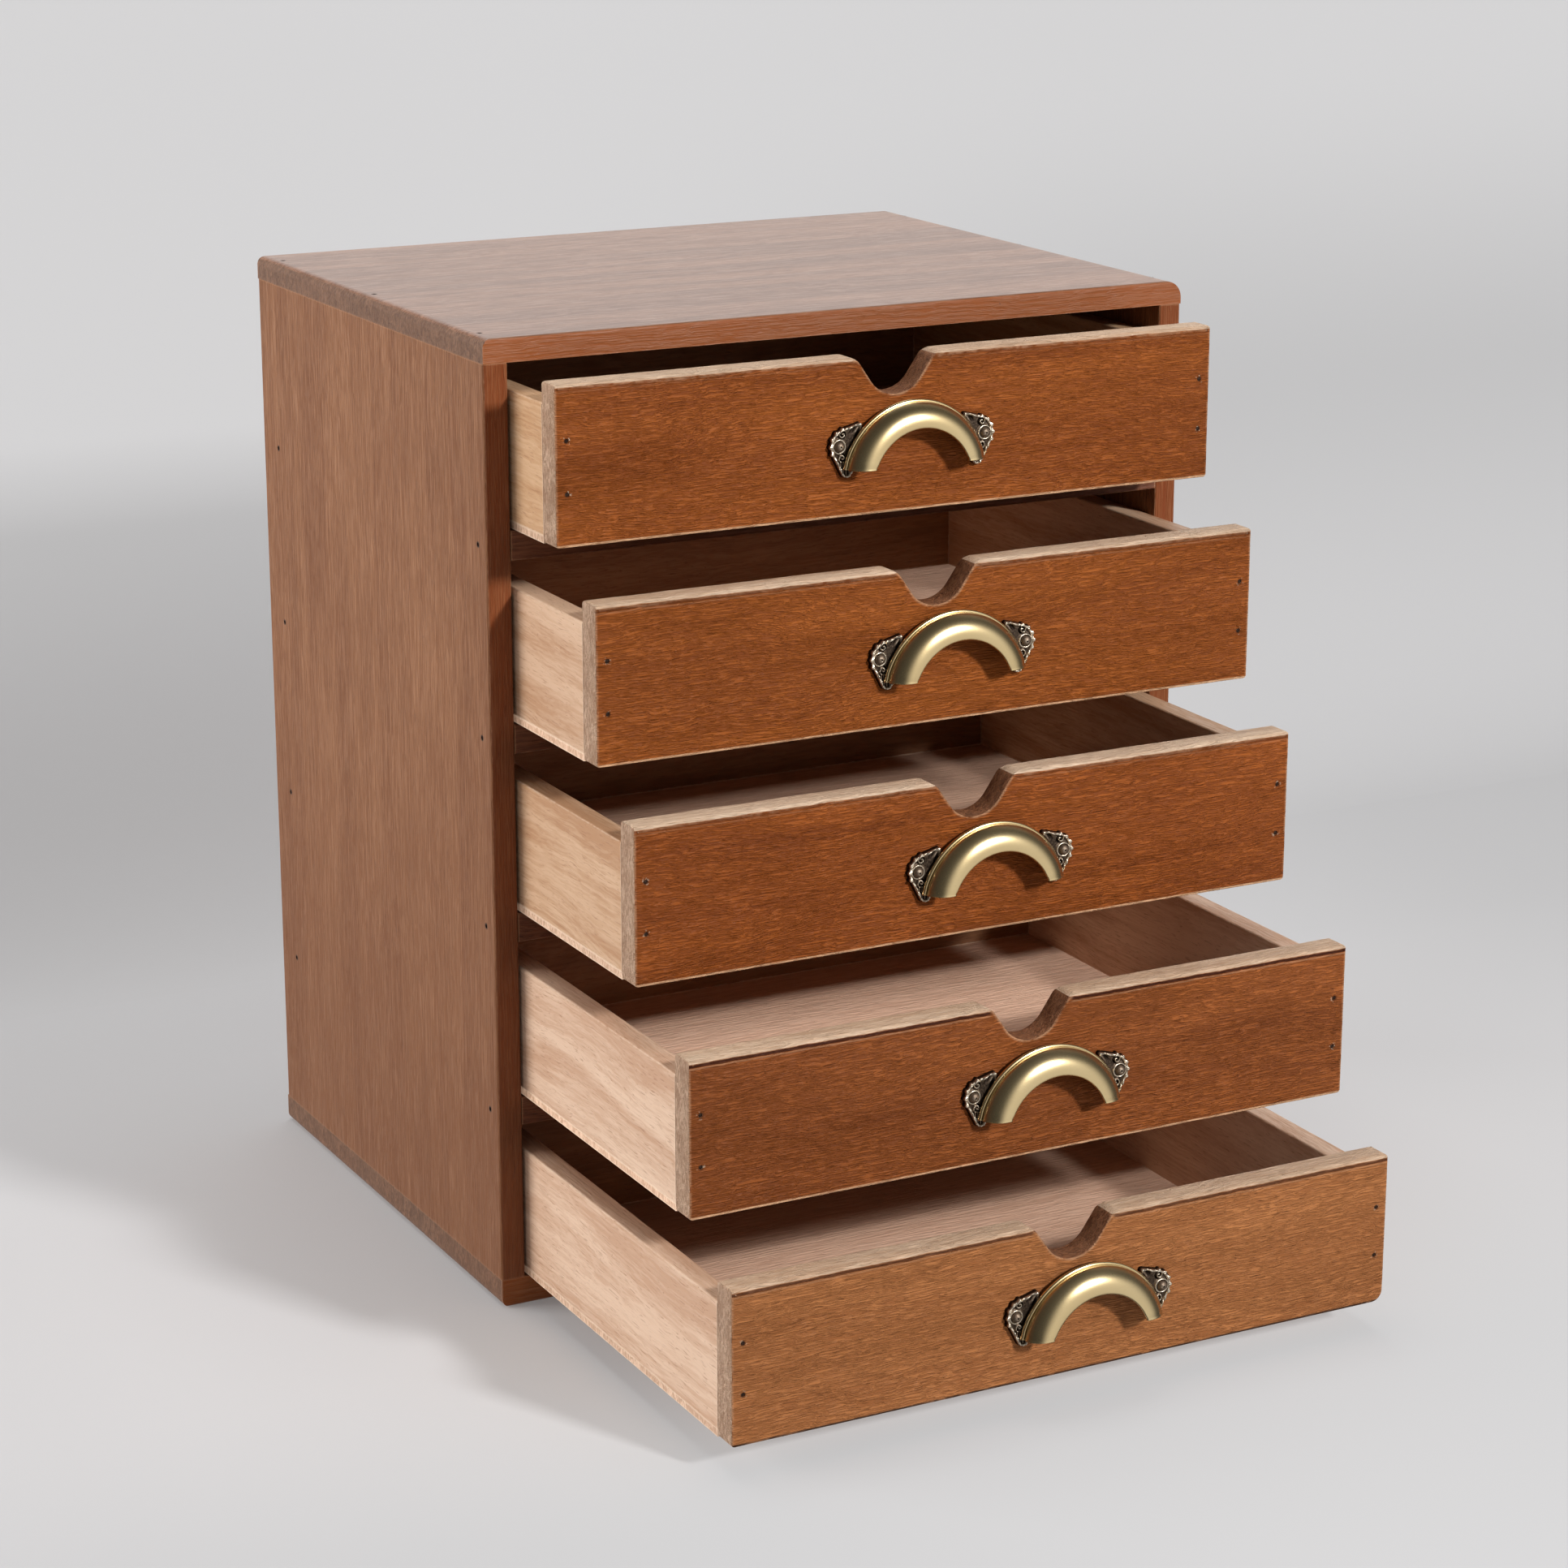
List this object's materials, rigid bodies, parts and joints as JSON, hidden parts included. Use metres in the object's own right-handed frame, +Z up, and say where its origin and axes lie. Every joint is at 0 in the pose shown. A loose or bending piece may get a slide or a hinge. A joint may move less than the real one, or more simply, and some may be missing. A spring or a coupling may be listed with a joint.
{
  "type": "desktop drawer cabinet",
  "caption": "Small wooden desktop cabinet with sliding drawers, each with a notched front and an antique brass arch pull.",
  "frame": {"origin": "on the table, under the middle of the cabinet, which is the base mount", "axes": "+Z up, the drawers open towards -Y, +X is the right-hand side seen from the front"},
  "size_m": [0.262, 0.3634, 0.33],
  "materials": {
    "stained_wood": "stained and oiled, satin, open grain",
    "raw_wood": "bare sanded solid wood",
    "plywood": "bare thin plywood sheet",
    "satin_brass": "satin antique brass",
    "dark_brass": "dark antiqued casting with rubbed high points",
    "pin_steel": "small sunk pin heads"
  },
  "bodies": {
    "cabinet": {"top_board": "stained_wood", "bottom_board": "stained_wood", "left_side": "stained_wood", "right_side": "stained_wood", "back_panel": "stained_wood", "left_runners": "stained_wood", "right_runners": "stained_wood", "cabinet_pins": "pin_steel", "front_rail_1": "stained_wood", "front_rail_2": "stained_wood", "front_rail_3": "stained_wood", "front_rail_4": "stained_wood"},
    "drawer_1": {"drawer_1_front": "stained_wood", "drawer_1_left_side": "raw_wood", "drawer_1_right_side": "raw_wood", "drawer_1_back": "raw_wood", "drawer_1_bottom": "plywood", "drawer_1_pull": "satin_brass", "drawer_1_pull_ears": "dark_brass", "drawer_1_pull_screws": "dark_brass", "drawer_1_pins": "pin_steel"},
    "drawer_2": {"drawer_2_front": "stained_wood", "drawer_2_left_side": "raw_wood", "drawer_2_right_side": "raw_wood", "drawer_2_back": "raw_wood", "drawer_2_bottom": "plywood", "drawer_2_pull": "satin_brass", "drawer_2_pull_ears": "dark_brass", "drawer_2_pull_screws": "dark_brass", "drawer_2_pins": "pin_steel"},
    "drawer_3": {"drawer_3_front": "stained_wood", "drawer_3_left_side": "raw_wood", "drawer_3_right_side": "raw_wood", "drawer_3_back": "raw_wood", "drawer_3_bottom": "plywood", "drawer_3_pull": "satin_brass", "drawer_3_pull_ears": "dark_brass", "drawer_3_pull_screws": "dark_brass", "drawer_3_pins": "pin_steel"},
    "drawer_4": {"drawer_4_front": "stained_wood", "drawer_4_left_side": "raw_wood", "drawer_4_right_side": "raw_wood", "drawer_4_back": "raw_wood", "drawer_4_bottom": "plywood", "drawer_4_pull": "satin_brass", "drawer_4_pull_ears": "dark_brass", "drawer_4_pull_screws": "dark_brass", "drawer_4_pins": "pin_steel"},
    "drawer_5": {"drawer_5_front": "stained_wood", "drawer_5_left_side": "raw_wood", "drawer_5_right_side": "raw_wood", "drawer_5_back": "raw_wood", "drawer_5_bottom": "plywood", "drawer_5_pull": "satin_brass", "drawer_5_pull_ears": "dark_brass", "drawer_5_pull_screws": "dark_brass", "drawer_5_pins": "pin_steel"}
  },
  "joints": [
    {"name": "drawer_1_slide", "type": "slide", "parent": "cabinet", "child": "drawer_1", "axis": [0, -1, 0], "range_m": [-0.033, 0.132]},
    {"name": "drawer_2_slide", "type": "slide", "parent": "cabinet", "child": "drawer_2", "axis": [0, -1, 0], "range_m": [-0.061, 0.104]},
    {"name": "drawer_3_slide", "type": "slide", "parent": "cabinet", "child": "drawer_3", "axis": [0, -1, 0], "range_m": [-0.087, 0.078]},
    {"name": "drawer_4_slide", "type": "slide", "parent": "cabinet", "child": "drawer_4", "axis": [0, -1, 0], "range_m": [-0.124, 0.041]},
    {"name": "drawer_5_slide", "type": "slide", "parent": "cabinet", "child": "drawer_5", "axis": [0, -1, 0], "range_m": [-0.152, 0.013]}
  ]
}
